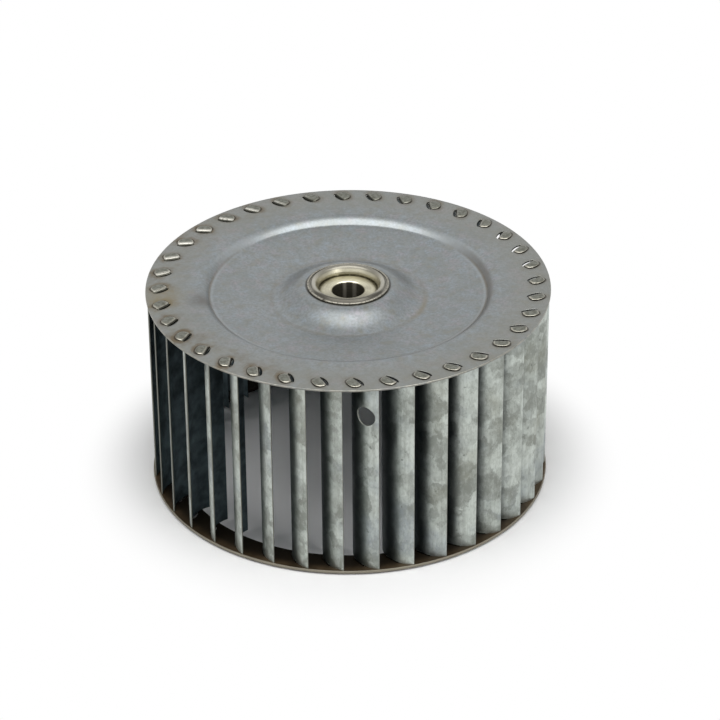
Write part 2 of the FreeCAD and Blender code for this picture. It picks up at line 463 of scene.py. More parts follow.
def ring_patches(sizes):
    """The inlet ring: a flat plate from its rounded inner edge over the slots to the rim."""
    half, edge = (RING_HIGH.z - RING_LOW.z) / 2, sizes.sheet_edge
    height = RING_LOW.z + half
    run = eased(sizes.ring_inner, SECTOR_INNER + edge, edge, 1)[:-EDGE_STEPS]
    inner = spun_sheet(sizes, paired(run, height), half * edge_share(run - sizes.ring_inner, edge))
    return inner + slotted_sectors(sizes, height, half) + outer_margin(sizes, height, half)


def window_border(window):
    """Row and column numbers round a window of a grid, and their angles round a circle: a
    quarter turn for each of the window's sides."""
    low, high, left, right = window
    steps = right - left, high - low
    rows = around(steps, low, low, high, high, low).astype(int)
    columns = around(steps, left, right, right, left, left).astype(int)
    return rows, columns, around(steps, *(math.pi / 4 * np.array([-3, -1, 1, 3, 5])))


# A blade's steps along its arc, and the window round the access hole in its grid: half the
# height, and the rows and columns that it leaves open
BLADE_STEPS = 24
HOLE_MARGIN = 5 * MM
HOLE_WINDOW = (9, 21, 4, 16)


def blade_sheet(sizes, pierced):
    """The rolled blade, a grid over the height and the length from the tip, which is marked
    on its hollow side as a negative number. In the pierced blade rings lead from a window of
    that grid to the hole, x = r cos t, z = r sin t, whose width x is laid along the arc as
    R asin(x / R)."""
    width = sizes.blade_arc * sizes.blade_sweep
    half, edge = sizes.blade_thickness / 2, sizes.sheet_edge
    low, high = sizes.screw_height - HOLE_MARGIN, sizes.screw_height + HOLE_MARGIN
    first, last, _, _ = HOLE_WINDOW
    heights = [
        np.linspace(RING_HIGH.z, low, first, endpoint=False),
        np.linspace(low, high, last - first, endpoint=False),
        np.linspace(high, sizes.disc_top - sizes.disc_thickness, 4),
    ]
    heights = np.concatenate(heights)
    places = eased(0, width, edge, BLADE_STEPS)
    points, normals = rolled(sizes, places, heights[:, None])
    halves = half * edge_share(np.minimum(places, width - places), edge)
    halves, along = (np.broadcast_to(row, points.shape[:2]) for row in (halves, places))
    closing = end_strips(points, normals, halves, (0, -1))
    if not pierced:
        return marked(thicken(points, normals, halves), (along, -along)) + closing
    rows, columns, turns = window_border(HOLE_WINDOW)
    across, up = sizes.hole_radius * np.cos(turns), sizes.hole_radius * np.sin(turns)
    across = sizes.blade_arc * np.arcsin(across / sizes.blade_arc)
    hole = paired(sizes.hole_from_tip + across, sizes.screw_height + up)
    flat, distances = rings(paired(places[columns], heights[rows]), hole, edge)
    collar, collar_normals = rolled(sizes, flat[..., 0], flat[..., 1])
    both = thicken(points, normals, halves, HOLE_WINDOW)
    both += thicken(collar, collar_normals, half * edge_share(distances, edge))
    round_hole = np.where(distances < 0.8 * edge, 0, flat[..., 0])
    return marked(both, (along, -along, round_hole, -round_hole)) + closing


def tongue(sizes, side, root, laid, extra_reach):
    """A tongue as a sheet. Along it, the middle stands from the root, goes through a quarter
    circle (bend (1 - cos w) out, bend (1 - sin w) short of the laid level) and lies flat.
    Across it, u goes from -1 to 1 times the half width, which falls towards the end as
    (1 - x ** n) ** (1 / n). Its sides are pressed down by the crown times u squared. It is
    marked from 1 at its root to 2 at its end."""
    middle, along, out, _ = fold_axes(sizes)
    bend, half_width, edge = sizes.tongue_bend, sizes.tongue_half, sizes.tongue_edge
    shoulder, far, fullness = 1.6 * MM, sizes.tongue_far + extra_reach, 2.3
    stem = np.linspace(root, laid - side * bend, 4, endpoint=False)
    bow = np.linspace(0, QUARTER, 7)
    end = np.sin(np.linspace(0, QUARTER, 12))
    lean = np.concatenate([0 * stem, bow, QUARTER + 0 * end])
    reach = [0 * stem, bend * (1 - np.cos(bow)), shoulder + (far - shoulder) * end]
    level = [stem, laid - side * bend * (1 - np.sin(bow)), laid + 0 * end]
    reach, level = np.concatenate(reach), np.concatenate(level)
    beyond = np.clip((reach - shoulder) / (far - shoulder), 0, 1)
    width = half_width * (1 - beyond**fullness) ** (1 / fullness)
    across = eased(-half_width, half_width, edge, 10) / half_width
    sideways = width[:, None] * across
    drop = sizes.tongue_crown * np.sin(lean)[:, None] * (sideways / half_width) ** 2
    points = middle + sideways[..., None] * along + reach[:, None, None] * out
    points[..., 2] = level[:, None] - side * drop
    normals = -np.cos(lean)[:, None] * out + np.sin(lean)[:, None] * np.array([0, 0, side])
    normals = np.broadcast_to(normals[:, None], points.shape)
    share = edge_share(width[:, None] * (1 - np.abs(across)), edge)
    halves = sizes.blade_thickness / 2 * share * edge_share(far - reach, edge)[:, None]
    marks = np.broadcast_to((1 + reach / far)[:, None], points.shape[:2])
    both = marked(thicken(points, normals, halves), (marks, marks))
    return both + end_strips(points, normals, halves, (0,))


def blade_patches(sizes, number, extra_reach):
    """One blade with its two folded tongues, turned to its place in the row."""
    half, tuck = sizes.blade_thickness / 2, 0.4 * MM
    upper_root = sizes.disc_top - sizes.disc_thickness - tuck
    patches = blade_sheet(sizes, number == PIERCED_BLADE)
    patches += tongue(sizes, 1, upper_root, BLADE_HIGH.z - half, extra_reach)
    patches += tongue(sizes, -1, RING_HIGH.z + tuck, BLADE_LOW.z + half, extra_reach)
    azimuth = blade_azimuth(sizes, number)
    return [(turned(points, azimuth), *rest) for points, *rest in patches]


def thread_wave(places, turns, pitch):
    """A screw thread's depth from 0 to 1: a triangle wave of place / pitch - turn / circle."""
    return np.abs(((places / pitch - turns / TURN) % 1) * 2 - 1)


def round_screw(sizes, reach, radius, turns):
    """Points round the set screw's axis, at a reach from the wheel's axis: r cos t across
    and r sin t up."""
    axis, side = (polar(1.0, sizes.screw_azimuth + angle, 0.0) for angle in (0, QUARTER))
    points = reach[..., None] * axis + (radius * np.cos(turns))[..., None] * side
    points[..., 2] += sizes.screw_height + radius * np.sin(turns)
    return points


# The hub's steps round, the tapped hole's steps along, and the windows round its two mouths:
# half their height, their rows and the columns that they leave open
HUB_STEPS = 120
WALL_STEPS = 44
WINDOW_MARGIN = 4.2 * MM
BARREL_ROWS, BARREL_COLUMNS = 16, (55, 65)
BORE_ROWS, BORE_COLUMNS = 4, (49, 71)
THREAD_DEPTH = 0.25 * MM


def hub_patches(sizes):
    """The hub, turned from the outline of its half section, with a tapped hole between a
    window of the barrel and one of the bore. The hole's wall is r cos t across and r sin t
    up, where r carries the thread, and runs from sqrt(R ** 2 - x ** 2) on the barrel to the
    same on the bore."""
    bore, barrel, spigot = sizes.bore_radius, sizes.barrel_radius, sizes.spigot_radius
    bottom, crest, lip = HUB_LOW.z, HUB_HIGH.z, HUB_HIGH.x
    land, core, chamfer = sizes.disc_top, crest - sizes.core_depth, sizes.bore_chamfer
    shoulder, funnel = land - sizes.disc_thickness, spigot - 1.2 * MM
    low, high = sizes.screw_height - WINDOW_MARGIN, sizes.screw_height + WINDOW_MARGIN
    start = (bore, bottom + 3 * MM)
    corners = [start, (bore, bottom), (barrel, bottom), (barrel, low)]
    foot = filleted(corners, [0.3 * MM, 0.5 * MM], 4)
    # Radius and millimetres out from it, height and millimetres up from it, bend radius
    upper = [
        (barrel, 0, high, 0, 0),
        (barrel, 0, shoulder, 0, 0.1),
        (spigot, 0, shoulder, 0, 0.05),
        (spigot, 0, land, 0, 0.05),
        (lip, 0, land, 0, 0.2),
        (lip, 0, land, 0.74, 0.34),
        (lip, -0.8, land, 0.74, 0.2),
        (lip, -0.95, land, 0.4, 0.07),
        (lip, -1.4, land, 0.5, 0.25),
        (lip, -2.0, crest, 0, 0.6),
        (funnel, 0.9, crest, -0.1, 1.5),
        (funnel, -0.2, core, 1.3, 0.8),
        (funnel, -0.4, core, 0, 0.05),
        (funnel, -0.45, core, -0.3, 0.06),
        (funnel, -0.75, core, -0.3, 0.06),
        (funnel, -0.85, core, 0, 0.12),
        (bore + chamfer, 0, core, 0, 0.08),
        (bore, 0, core - chamfer, 0, 0.08),
        (bore, 0, high, 0, 0),
    ]
    upper = np.array(upper)
    top = filleted(upper[:, [0, 2]] + upper[:, [1, 3]] * MM, upper[1:-1, 4] * MM, 5)
    barrel_rows = paired(barrel, np.linspace(low, high, BARREL_ROWS + 1)[1:])
    bore_rows = paired(bore, np.linspace(high, low, BORE_ROWS + 1)[1:])
    outline = np.concatenate([foot, barrel_rows, top[1:], bore_rows, [start]])
    angles = sizes.screw_azimuth - math.pi + np.linspace(0, TURN, HUB_STEPS + 1)
    first_barrel = len(foot) - 1
    first_bore = first_barrel + BARREL_ROWS + len(top) - 1
    windows = (
        (first_barrel, first_barrel + BARREL_ROWS, *BARREL_COLUMNS),
        (first_bore, first_bore + BORE_ROWS, *BORE_COLUMNS),
    )
    patches = [patch(polar(outline[:, :1], angles, outline[:, 1:]), *windows)]
    plain = sizes.screw_radius + 0.05 * MM
    share = np.array([0, 0.4, 0.75, 1])[:, None]
    mouths = []
    for window, radius, rising in zip(windows, (barrel, bore), (1, -1)):
        rows, columns, turns = window_border(window)
        border = paired(angles[columns], outline[rows, 1])
        mouth = paired(
            sizes.screw_azimuth + np.arcsin(plain * np.cos(turns) / radius),
            sizes.screw_height + rising * plain * np.sin(turns),
        )
        flat = border[:, None] * (1 - share) + mouth[:, None] * share
        patches.append(patch(polar(radius, flat[..., 0], flat[..., 1])))
        mouths.append(turns[:, None])
    depth = np.linspace(0, 1, WALL_STEPS + 1)
    twist = mouths[0] * (1 - depth) + mouths[1] * depth
    fade = np.clip(np.minimum(depth, 1 - depth) * 12, 0, 1)
    on_barrel, on_bore = (np.sqrt(r**2 - (plain * np.cos(twist)) ** 2) for r in (barrel, bore))
    reach = on_barrel * (1 - depth) + on_bore * depth
    radius = plain + THREAD_DEPTH * fade * thread_wave(reach, twist, sizes.thread_pitch)
    return patches + [patch(round_screw(sizes, reach, radius, twist))]


SCREW_STEPS = 48
THREAD_STEPS = 56


def screw_patches(sizes):
    """The set screw, along its axis: a cup point, a threaded body, a chamfer and a hexagon
    socket, whose radius is apothem / cos(turn within a sixth - a twelfth)."""
    turns = np.linspace(0, TURN, SCREW_STEPS + 1)
    outer, long = sizes.screw_radius, sizes.screw_length
    hexagon = sizes.socket_flats / 2 / np.cos(turns % (TURN / 6) - TURN / 12)
    places = np.linspace(0.5 * MM, long - 0.5 * MM, THREAD_STEPS + 1)
    wave = thread_wave(places[:, None], turns, sizes.thread_pitch)
    floor = long - sizes.socket_depth
    rows = [
        (0, 0.7 * MM),
        (1.3 * MM, 0.05 * MM),
        (1.6 * MM, 0),
        (outer - 0.7 * MM, 0),
        *zip(outer - 0.3 * MM * (1 - wave), places),
        (outer - 0.45 * MM, long),
        (hexagon * 1.06, long),
        (hexagon, long - 0.12 * MM),
        (hexagon, floor),
        (0, floor - 0.4 * MM),
    ]
    radii = np.array([radius + 0 * turns for radius, _ in rows])
    reach = sizes.screw_tip + np.array([[place] for _, place in rows])
    return [patch(round_screw(sizes, reach, radii, turns))]


# Finishes


def adds_node(operation, swapped=False):
    """A method of Value that adds a Math node for one of Python's operators."""

    def method(self, other):
        values = (other, self) if swapped else (self, other)
        return self.finish.maths(operation, *values)

    return method


class Value:
    """An output of a node that can stand in a sum: each operator adds a Math node."""

    def __init__(self, finish, socket):
        self.finish, self.socket = finish, socket

    __add__ = __radd__ = adds_node("ADD")
    __mul__ = __rmul__ = adds_node("MULTIPLY")
    __sub__ = adds_node("SUBTRACT")
    __rsub__ = adds_node("SUBTRACT", swapped=True)
    __truediv__ = adds_node("DIVIDE")
    __pow__ = adds_node("POWER")

    def __abs__(self):
        return self.finish.maths("ABSOLUTE", self)


def toned(strength, values):
    """A colour made darker or lighter."""
    return tuple(strength * value for value in values)


class Finish:
    """A node tree that is filled by one method, with short names for the nodes used most."""

    def __init__(self, tree):
        self.tree = tree
        tree.nodes.clear()

    def node(self, kind, settings=None, inputs=None, output=0):
        """Adds a node. Its settings are set first, then the values or links of its sockets.
        Gives one of its outputs."""
        made = self.tree.nodes.new(kind)
        for name, value in (settings or {}).items():
            setattr(made, name, value)
        for name, value in (inputs or {}).items():
            socket = made.inputs[name]
            if isinstance(value, Value):
                self.tree.links.new(value.socket, socket)
            else:
                socket.default_value = value
        return Value(self, made.outputs[output] if made.outputs else None)

    def maths(self, operation, *values):
        return self.node("ShaderNodeMath", {"operation": operation}, dict(enumerate(values)))

    def vector(self, operation, first, second, output=0):
        settings = {"operation": operation}
        return self.node("ShaderNodeVectorMath", settings, {0: first, 1: second}, output)

    def split(self, vector):
        made = self.node("ShaderNodeSeparateXYZ", inputs={0: vector}).socket.node
        return [Value(self, output) for output in made.outputs]

    def radius(self, x, y):
        """Distance from the wheel's axis."""
        return (x * x + y * y) ** 0.5

    def stretched(self, vector, rise):
        """Places whose height is scaled, which stretches a pattern on them upwards."""
        return self.node("ShaderNodeMapping", inputs={"Vector": vector, "Scale": (1, 1, rise)})

    def noise(self, vector, scale, detail=3, roughness=0.55, output="Fac"):
        inputs = {"Vector": vector, "Scale": scale, "Detail": detail, "Roughness": roughness}
        return self.node("ShaderNodeTexNoise", inputs=inputs, output=output)

    def crystals(self, vector, scale):
        """Cells with a random colour each, which blend a little at their borders."""
        inputs = {"Vector": vector, "Scale": scale, "Smoothness": 0.2}
        return self.node("ShaderNodeTexVoronoi", {"feature": "SMOOTH_F1"}, inputs, "Color")

    def between(self, value, low, high):
        """0 below low, 1 above high and a smooth step between; low may be the higher."""
        inputs = {"Value": value, "From Min": low, "From Max": high}
        return self.node("ShaderNodeMapRange", {"interpolation_type": "SMOOTHSTEP"}, inputs)

    def ramp(self, value, low, high, start=0):
        """The same for a place, with low and high in millimetres from a start."""
        return self.between(value, start + low * MM, start + high * MM)

    def band(self, value, middle, far, near):
        """1 within near millimetres of a place's middle value, and 0 from far away on."""
        return self.between(abs(value - middle * MM), far * MM, near * MM)

    def spot(self, place, x, y, height, reach):
        """1 at a spot, falling smoothly to 0 at a reach from it. Its height is in metres, the
        rest in millimetres."""
        away = self.vector("DISTANCE", place, (x * MM, y * MM, height), "Value")
        return self.ramp(away, reach, 0)

    def layers(self, base, *coats):
        """Colours laid over a base, each by its share. Plain ones have three values."""
        for share, coat in coats:
            base, coat = (c if isinstance(c, Value) else (*c, 1) for c in (base, coat))
            inputs = {0: share, 6: base, 7: coat}
            base = self.node("ShaderNodeMix", {"data_type": "RGBA"}, inputs, 2)
        return base

    def bump(self, height, strength, distance):
        inputs = {"Height": height, "Strength": strength, "Distance": distance}
        return self.node("ShaderNodeBump", inputs=inputs, output="Normal")

    def metal(self, base, roughness, normal, metallic=1):
        inputs = {"Base Color": base, "Roughness": roughness, "Metallic": metallic}
        shader = self.node("ShaderNodeBsdfPrincipled", inputs={**inputs, "Normal": normal})
        self.node("ShaderNodeOutputMaterial", inputs={"Surface": shader})

    def seen(self):
        """1 for what the camera sees, directly or by way of metal or glass."""
        path = self.node("ShaderNodeLightPath").socket.node
        kinds = ("Is Camera Ray", "Is Glossy Ray", "Is Transmission Ray")
        camera, metal, glass = (Value(self, path.outputs[kind]) for kind in kinds)
        return camera + metal + glass


def finish_of(name):
    """A new material, its empty finish and the place on the piece."""
    material = bpy.data.materials.new(name)
    material.use_nodes = True
    f = Finish(material.node_tree)
    return material, f, f.node("ShaderNodeTexCoord", output="Object")


def tongue_distance(f, sizes, x, y):
    """Roughly how far a point of a plate lies outside the nearest folded tongue, in mm. The
    angle within a sector gives the point its place along and out from that fold, and a
    superellipse round the tongue gives the distance."""
    centre, along, out, fold_angle = fold_axes(sizes)
    fold_radius = float(np.hypot(centre[0], centre[1]))
    step = TURN / BLADE_COUNT
    start = sizes.first_azimuth + fold_angle - step / 2
    radius, azimuth = f.radius(x, y), f.maths("ARCTAN2", y, x)
    local = (f.maths("FRACT", (azimuth - start) / step) - 0.5) * step
    outwards = radius * f.maths("COSINE", local) - fold_radius
    sideways = radius * f.maths("SINE", local)
    radial = np.array([math.cos(fold_angle), math.sin(fold_angle), 0])
    tangent = np.array([-radial[1], radial[0], 0])
    along_place, out_place = (
        outwards * float(axis @ radial) + sideways * float(axis @ tangent) for axis in (along, out)
    )
    middle, fullness, reach = sizes.tongue_far / 2, 2.4, 2.6
    shape = (abs(along_place) / sizes.tongue_half) ** fullness
    shape = shape + (abs(out_place - middle) / middle) ** fullness
    return (shape ** (1 / fullness) - 1) * reach, radius, azimuth


def disc_finish(sizes, colours):
    """Satin zinc on pressed sheet: a fine grain, faint warm and cool patches, brown stains
    round the tongues and along the rim, strongest on one side, painted highlights and
    painted shade on the step, and thin lines of dirt and painted shade in the creases of the
    pressing and around each tongue."""
    material, f, place = finish_of("disc_steel")
    x, y, _ = f.split(place)
    away, radius, azimuth = tongue_distance(f, sizes, x, y)
    clouds = f.noise(place, 42, 4, 0.6)
    mottle = f.noise(place, 230, 4, 0.65)
    tint = f.noise(place, 170, 4, 0.65)
    grain = f.noise(place, 950, 3, 0.65)
    patches = f.between(f.noise(place, 60, 5, 0.7), 0.42, 0.68)
    broken = f.between(f.noise(place, 90, 4, 0.65), 0.2, 0.6)
    ragged = f.between(f.noise(place, 300, 3, 0.6), 0.3, 0.6)
    # Brown stains of the rim and round the tongues
    side = f.between(f.maths("COSINE", azimuth - math.radians(195)), -0.2, 1)
    rim = f.ramp(radius, 57, 72)
    back = f.ramp(y, 40, 68)
    halo = f.between(away, 3.2, 0) * (0.3 + 0.5 * side + 0.3 * patches + 0.4 * back)
    stain = rim * (patches * (0.15 + 0.8 * side)) + halo
    # Painted highlights and painted shade on the step, and dirt with painted shade in the creases
    # round the step's foot and the dome's foot
    from_foot = radius - (sizes.step_radius - sizes.step_width)
    front = f.ramp(y, 42, 12)
    shade = f.band(from_foot, 1.0, 2.0, 0.2) * front * (0.1 + 1.3 * f.ramp(x, -20, 30))
    bright = f.band(from_foot, -0.9, 1.0, 0.1) * front
    near = f.band(from_foot, -0.6, 1.9, 0.3) * f.ramp(y, -5, -25) * f.ramp(x, -50, 30)
    far = f.band(radius - sizes.step_radius, -1.4, 2.4, 0.6) * f.ramp(y, 10, 35)
    far = far * (0.6 - 0.35 * f.ramp(y, 38, 52))
    dome_foot = f.ramp(abs(radius - sizes.dome_radius), 1.8, 0.1)
    creases = f.ramp(abs(from_foot), 0.7, 0.1) * front * (0.6 + 0.4 * f.ramp(y, -10, -45))
    creases = creases + 0.3 * dome_foot
    # Single stains, the rubbed rim edge, which is also a painted highlight, and dirt with painted
    # contact shade round the tongues and the hub
    stained = f.spot(place, 29, -9, DISC_HIGH.z - sizes.dish_depth, 16)
    smudge = f.spot(place, -57.5, -11, DISC_HIGH.z, 8) * f.between(mottle, 0.1, 0.5)
    yellow = f.spot(place, -73.5, -9, DISC_HIGH.z, 14)
    edge = f.ramp(radius, 79.7, 79.85) * ragged
    dirt = f.between(abs(away - 0.1), 0.55, 0.08) + f.ramp(radius, 17.3, 16.6)
    base = f.layers(
        colours.disc_dark,
        (f.between(clouds, 0.3, 0.7), colours.disc_light),
        (0.75 * f.between(mottle, 0.5, 0.68), colours.disc_warm),
        (0.8 * f.between(mottle, 0.5, 0.32), colours.disc_blue),
        (0.65 * f.between(tint, 0.5, 0.68), colours.disc_pink),
        (0.7 * f.between(grain, 0.35, 0.68), toned(0.8, colours.disc_dark)),
        (0.5 * rim, colours.disc_warm),
        (f.between(stain, 0, 1.7), colours.disc_stain),
        # Painted highlights on the far side of the step and inside its foot, painted shade on its
        # near side
        (far, toned(1.3, colours.disc_light)),
        (0.6 * shade, colours.disc_shade_and_smudge),
        (0.45 * near, colours.disc_shade_and_smudge),
        (0.4 * bright, toned(1.15, colours.disc_light)),
        # Dirt and painted shade in the creases
        (0.8 * creases * broken, toned(1.05, colours.disc_stain)),
        (0.4 * stained * dome_foot, colours.disc_yellow),
        (0.95 * smudge, toned(0.85, colours.disc_shade_and_smudge)),
        (0.9 * yellow * f.between(patches, -0.6, 0.6), colours.disc_yellow),
        # The rim's worn edge, lighter also as a painted highlight
        (0.45 * edge, colours.worn_edge_and_highlight),
        # Dirt and painted contact shade round the tongues and the hub
        (0.8 * dirt, toned(0.25, colours.disc_stain)),
    )
    roughness = 0.31 + 0.1 * clouds + 0.15 * f.between(stain, 0, 1.6)
    f.metal(base, roughness, f.bump(grain, 0.1, 0.05 * MM))
    return material


def zinc_finish(colours):
    """Hot-dip zinc: large crystals among small ones, both with soft, feathered borders and
    their own brightness, gloss and slight tilt, under cool and warm tints. The hollow side
    of each blade is black with dirt and painted shade, which reaches round the blade's inner
    end, and painted green shade lies further in on the front blades; its cut edge is dull,
    and the tongues are worn and brown, with painted highlights on their pressed edges and on
    some of them, and dirt and painted shade at their foot. The mark "along" tells the parts:
    a length from the tip on a blade's outer side, a negative one on its hollow side, 0 on
    cut edges, and 1 to 2 on a tongue."""
    material, f, place = finish_of("blade_steel")
    x, y, z = f.split(place)
    along = f.node("ShaderNodeAttribute", {"attribute_name": "along"}, output="Fac")
    wander = f.noise(f.stretched(place, 0.6), 260, 5, 0.7, "Color")
    moved = f.vector("ADD", place, f.vector("MULTIPLY", wander, (7 * MM,) * 3))
    large, gloss, tilt = f.split(f.crystals(moved, 90))
    small, fine_gloss, _ = f.split(f.crystals(moved, 260))
    feather = f.noise(f.stretched(moved, 0.35), 480, 4, 0.75)
    cloud = f.noise(place, 130, 3, 0.6)
    tint = f.noise(place, 38, 3, 0.6)
    frost = f.noise(f.stretched(place, 0.5), 620, 4, 0.7)
    lines = f.noise(f.stretched(place, 0.02), 700, 2, 0.5)
    grain = f.noise(f.stretched(place, 0.4), 1300, 2, 0.6)
    specks = f.between(f.noise(place, 420, 2, 0.5), 0.3, 0.22)
    grime_and_shade = f.noise(f.stretched(place, 0.5), 200, 4, 0.65)
    spotted = f.noise(place, 700, 3, 0.65)
    clear = 0.38 * large + 0.26 * small + 0.42 * feather + 0.25 * cloud
    # The blade: dirt and painted shade on the hollow side and the inner end, painted green shade on
    # the front blades, and the cut edge
    on_blade = f.between(along, 0.5, 0.4)
    hollow = f.ramp(along, -0.15, -0.4)
    inner = f.ramp(along + 2 * MM * grime_and_shade, 5.7, 13.5) * on_blade
    shaded = f.ramp(along, 2.5, 7.5) * f.ramp(x, 45, 5) * on_blade
    cut = f.ramp(abs(along), 0.22, 0.1)
    # Painted light: the black of the hollow side turns lighter towards the bottom
    low = 0.12 * f.ramp(z, 75, 25)
    lighter_black = f.between(0.8 * cloud + 0.2 * grime_and_shade + low, 0.3, 0.85)
    # The hollow side's black, dirt and painted shade, lighter in patches
    black = f.layers(colours.grime_and_shade, (lighter_black, toned(4.6, colours.grime_and_shade)))
    # The tongue: its worn flap with painted highlights on the pressed edges, painted highlight bars
    # on some, and dirt with painted shade at its foot
    on_tongue = f.between(along, 0.5, 0.6)
    patchy = f.between(spotted, 0.2, 0.5)
    flap = f.between(along, 1.2, 1.3)
    rubbed = f.ramp(z, -0.07, -0.17, BLADE_HIGH.z) * (0.55 + 0.45 * flap) * patchy
    rubbed = rubbed * (1 - 0.75 * f.ramp(y, 42, 62))
    highlight_bar = f.between(along, 1.05, 1.13) * f.between(along, 1.34, 1.2)
    highlight_bar = highlight_bar * f.ramp(0.57 * y - 0.82 * x, 50, 77) * patchy
    foot = f.ramp(z, 0.28, 0.1, DISC_HIGH.z)
    worn = f.layers(
        colours.tongue_brown,
        (f.between(spotted, 0.35, 0.65), colours.tongue_worn),
        # Painted highlights on the pressed edges and on some tongues, then dirt and painted shade
        # at the foot
        (0.75 * rubbed, colours.worn_edge_and_highlight),
        (0.85 * highlight_bar, colours.tongue_highlight),
        (0.9 * foot, toned(0.25, colours.tongue_brown)),
    )
    base = f.layers(
        colours.zinc_dark,
        (f.between(clear, 0.4, 0.88), colours.zinc_light),
        (0.6 * f.between(tint, 0.5, 0.7), colours.zinc_blue),
        (0.4 * f.between(tint, 0.48, 0.3), colours.zinc_warm),
        (0.3 * f.between(frost, 0.48, 0.66), colours.zinc_light),
        (0.3 * f.between(lines, 0.45, 0.7), colours.zinc_dark),
        (0.35 * f.between(grain, 0.45, 0.7), colours.zinc_dark),
        (0.5 * specks, toned(0.35, colours.zinc_dark)),
        # Painted green shade on the front blades, then dirt and painted shade further in and on the
        # hollow side
        (0.5 * shaded, colours.zinc_shade),
        (0.88 * inner, colours.grime_and_shade),
        (hollow, black),
        (cut, colours.cut_edge),
        (on_tongue, worn),
    )
    roughness = 0.36 + 0.16 * gloss + 0.06 * fine_gloss + 0.12 * hollow
    roughness = roughness - on_tongue * (0.12 + 0.1 * rubbed)
    height = 0.7 * tilt + 0.3 * small + 0.3 * feather
    f.metal(base, roughness, f.bump(height, 0.22, 0.25 * MM))
    return material


def ring_finish(colours):
    """Plated sheet under a dark brown stain, darker inwards as painted shade, and worn to clearer
    steel along the outer edge.
    """
    material, f, place = finish_of("ring_steel")
    x, y, _ = f.split(place)
    radius = f.radius(x, y)
    patches = f.noise(place, 110, 5, 0.7)
    base = f.layers(
        colours.ring_stain,
        (f.between(patches, 0.3, 0.72), colours.ring_brown),
        # Painted shade: darker towards the inner edge, among the blades
        (f.ramp(radius, 79, 75), toned(0.4, colours.ring_stain)),
        (f.ramp(radius + 0.5 * MM * patches, 79.7, 80.2), colours.ring_clear),
    )
    normal = f.bump(f.noise(place, 900), 0.15, 0.08 * MM)
    f.metal(base, 0.42 + 0.25 * patches, normal, 0.6)
    return material


def hub_finish(colours):
    """Turned steel with a slightly yellow plating: rings left by the tool, duller patches, a
    rough and nicked bead, a painted highlight behind the bore and painted shade ahead of it
    and on the far crest, brown dirt and painted shade on one side of the roll, black dirt in
    the groove around the core, and painted shade with dirt in the bore and where the lip
    lies on the disc."""
    material, f, place = finish_of("hub_steel")
    x, y, z = f.split(place)
    radius, crest = f.radius(x, y), HUB_HIGH.z
    clouds = f.noise(place, 190, 4, 0.6)
    ragged = f.noise(place, 850, 3, 0.6)
    nicks = f.between(f.noise(place, 1500, 2, 0.6), 0.5, 0.62)
    inputs = {"W": radius + z * 0.7, "Scale": 2600, "Detail": 3}
    tool = f.node("ShaderNodeTexNoise", {"noise_dimensions": "1D"}, inputs, "Fac")
    # The core and the funnel: a painted highlight behind the bore, painted shade ahead of it, with
    # dirt in the groove
    behind = f.ramp(radius, 11.0, 7.2) * f.ramp(y, 2, 6)
    ahead = f.ramp(radius, 11.2, 10.8) * f.ramp(y, 0, -8)
    groove = f.band(radius, 11.5, 1.0 + 0.5 * f.ramp(abs(x), 4, 10), 0.3)
    groove = groove * f.ramp(z, -2.7, -3.4, crest) * f.between(ragged, 0.2, 0.5)
    # The lip: painted shade on its far crest, dirt and painted shade on its roll and the valley
    # before its bead, the bead, and painted shade with dirt at the seam on the disc
    far = f.ramp(y, 2, 9) * f.ramp(radius, 12.3, 12.7)
    roll = f.ramp(radius, 12.9, 14.0) * f.ramp(radius, 15.75, 15.5)
    valley = f.ramp(radius, 14.2, 14.7) * f.ramp(radius, 15.75, 15.45)
    browned_and_shaded = 0.6 * valley + roll * f.ramp(y, -4, -12) * (0.7 + 0.6 * ragged)
    bead = f.ramp(radius, 15.3, 15.6)
    seam = f.ramp(radius, 15.3, 15.9) * f.ramp(z, -0.95, -1.2, crest)
    nick = f.spot(place, -9.6, -12.8, crest - 0.7 * MM, 1.1)
    # The bore: painted shade with dirt inside, and two lighter streaks
    inside = f.ramp(radius, 6.6, 6.45)
    streaks = inside * (f.band(x, -1.4, 1.1, 0.2) + 0.8 * f.band(x, 2.5, 1.2, 0.3))
    base = f.layers(
        colours.hub_light,
        (f.ramp(radius, 12.4, 13.6), colours.hub_pale),
        (f.ramp(radius, 11.4, 11.1), toned(1.2, colours.hub_light)),
        (0.6 * f.between(clouds, 0.35, 0.7), colours.hub_dark),
        # Painted highlight behind the bore, painted shade ahead of it
        (0.9 * behind, toned(1.5, colours.hub_light)),
        (0.85 * ahead, toned(0.3, colours.hub_light)),
        (0.3 * f.between(tool, 0.4, 0.7), colours.hub_dark),
        # Painted shade on the far crest
        (0.9 * far, toned(0.65, colours.hub_grey)),
        # Dirt and painted shade on the roll and in the valley
        (0.95 * f.between(browned_and_shaded, 0, 1.1), colours.hub_brown),
        (0.85 * groove, colours.hub_olive),
        # Painted contact shade with dirt at the seam, painted shade with dirt in the bore
        (0.85 * seam, colours.hub_dirt_and_shade),
        (0.8 * inside, colours.hub_dirt_and_shade),
        (0.8 * streaks, toned(9, colours.hub_brown)),
        (0.9 * bead, colours.hub_grey),
        (0.75 * bead * nicks, toned(1.5, colours.hub_brown)),
        (0.9 * nick, colours.hub_dirt_and_shade),
    )
    roughness = 0.2 + 0.16 * clouds + 0.12 * tool + 0.15 * inside + 0.12 * bead * ragged
    f.metal(base, roughness, f.bump(tool + bead * (6 * ragged), 0.25, 0.06 * MM))
    return material


def screw_finish(colours):
    """Blackened steel, a little worn."""
    material, f, place = finish_of("screw_steel")
    wear = f.noise(place, 700)
    worn = toned(3, colours.screw_black)
    base = f.layers(colours.screw_black, (f.between(wear, 0.5, 0.8), worn))
    f.metal(base, 0.38 + 0.15 * wear, f.bump(wear, 0.1, 0.05 * MM), 0.9)
    return material


